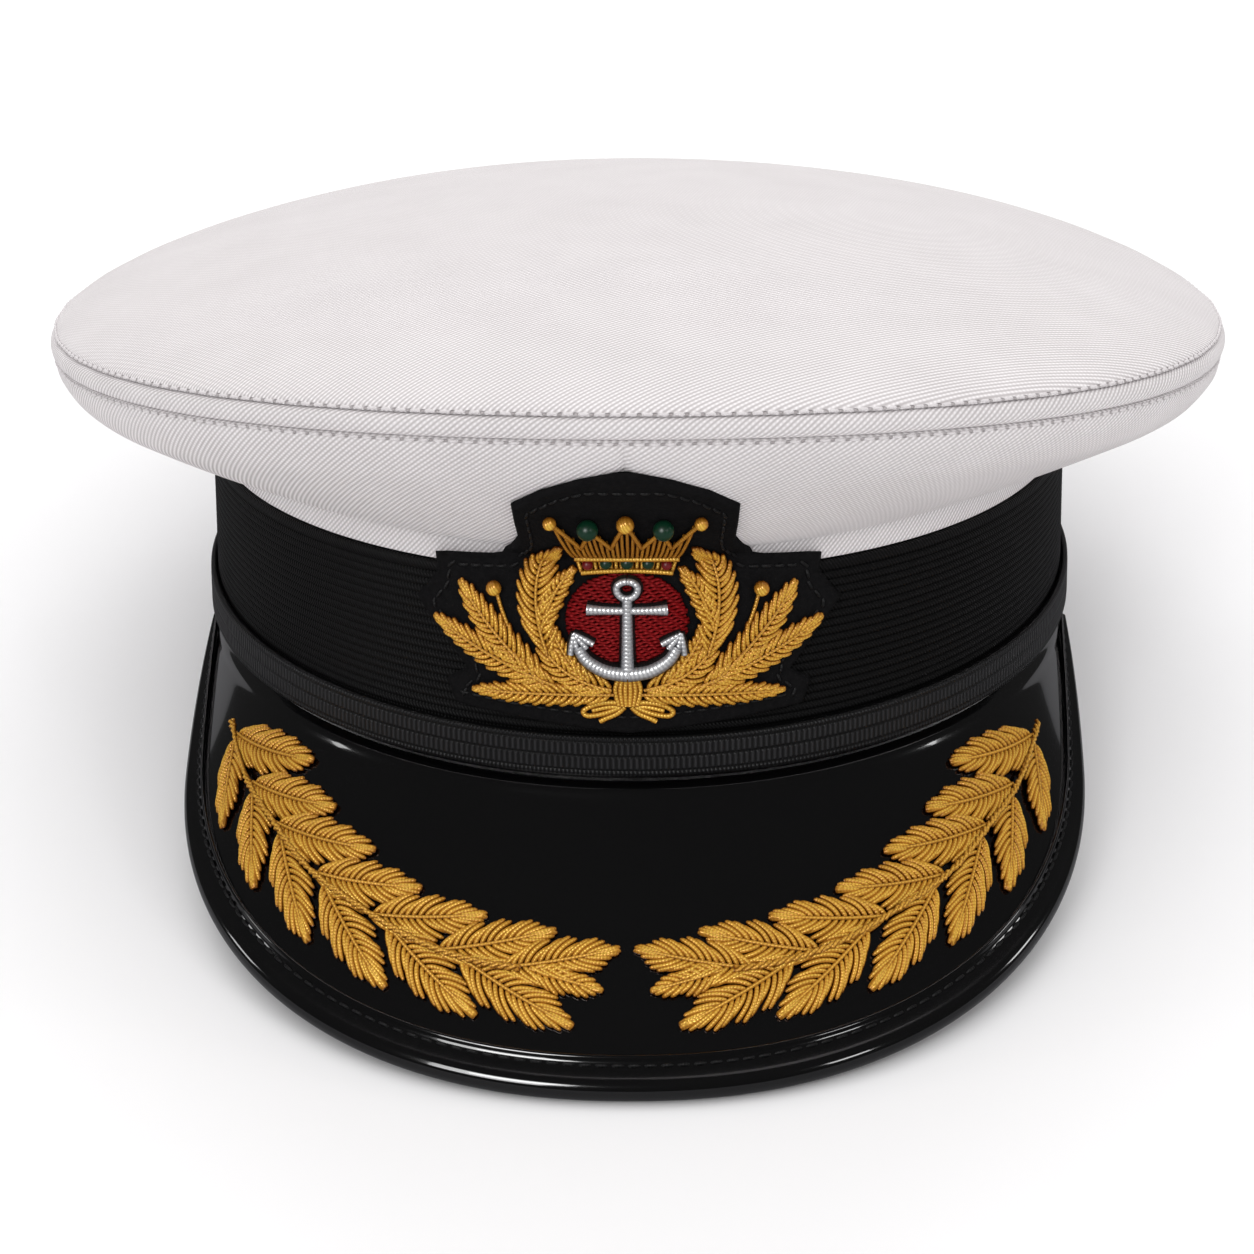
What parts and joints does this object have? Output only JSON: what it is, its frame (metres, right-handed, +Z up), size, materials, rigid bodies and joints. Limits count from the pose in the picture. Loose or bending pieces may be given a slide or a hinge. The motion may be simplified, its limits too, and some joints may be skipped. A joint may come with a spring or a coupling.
{
  "type": "naval officer's peaked cap",
  "caption": "Naval officer's peaked cap: flared white cloth crown, ribbed black band with tape, embroidered badge, and a glossy black peak with gold leaf sprays.",
  "frame": {"origin": "centre of the bounding box's bottom face, on the floor the cap rests on", "axes": "+Z up, -Y towards the front with the peak and badge, +Y towards the back, +X to the right of someone who looks at the front"},
  "size_m": [0.2384, 0.2776, 0.1244],
  "materials": {
    "twill": "matt white twill",
    "braid": "black ribbed braid",
    "tape": "black woven tape",
    "patent": "glossy black patent leather",
    "felt": "black felt",
    "bullion": "gold wire thread",
    "silver": "silver wire thread",
    "red_silk": "red silk thread",
    "green_stone": "green stone",
    "red_stone": "red stone"
  },
  "bodies": {
    "root": {"band": "braid", "band_strap": "tape", "crown_side_right": "twill", "crown_side_left": "twill", "crown_welt": "twill", "crown_top": "twill", "peak": "patent", "peak_binding": "patent", "spray_right": "bullion", "spray_left": "bullion", "badge_patch": "felt", "wreath_right": "bullion", "wreath_left": "bullion", "badge_cushion": "red_silk", "badge_anchor": "silver", "wreath_tie": "bullion", "coronet": "bullion", "coronet_stone_middle": "green_stone", "coronet_pearl_right": "green_stone", "coronet_stone_red_right": "red_stone", "coronet_stone_green_right": "green_stone", "coronet_pearl_left": "green_stone", "coronet_stone_red_left": "red_stone", "coronet_stone_green_left": "green_stone"}
  },
  "joints": []
}
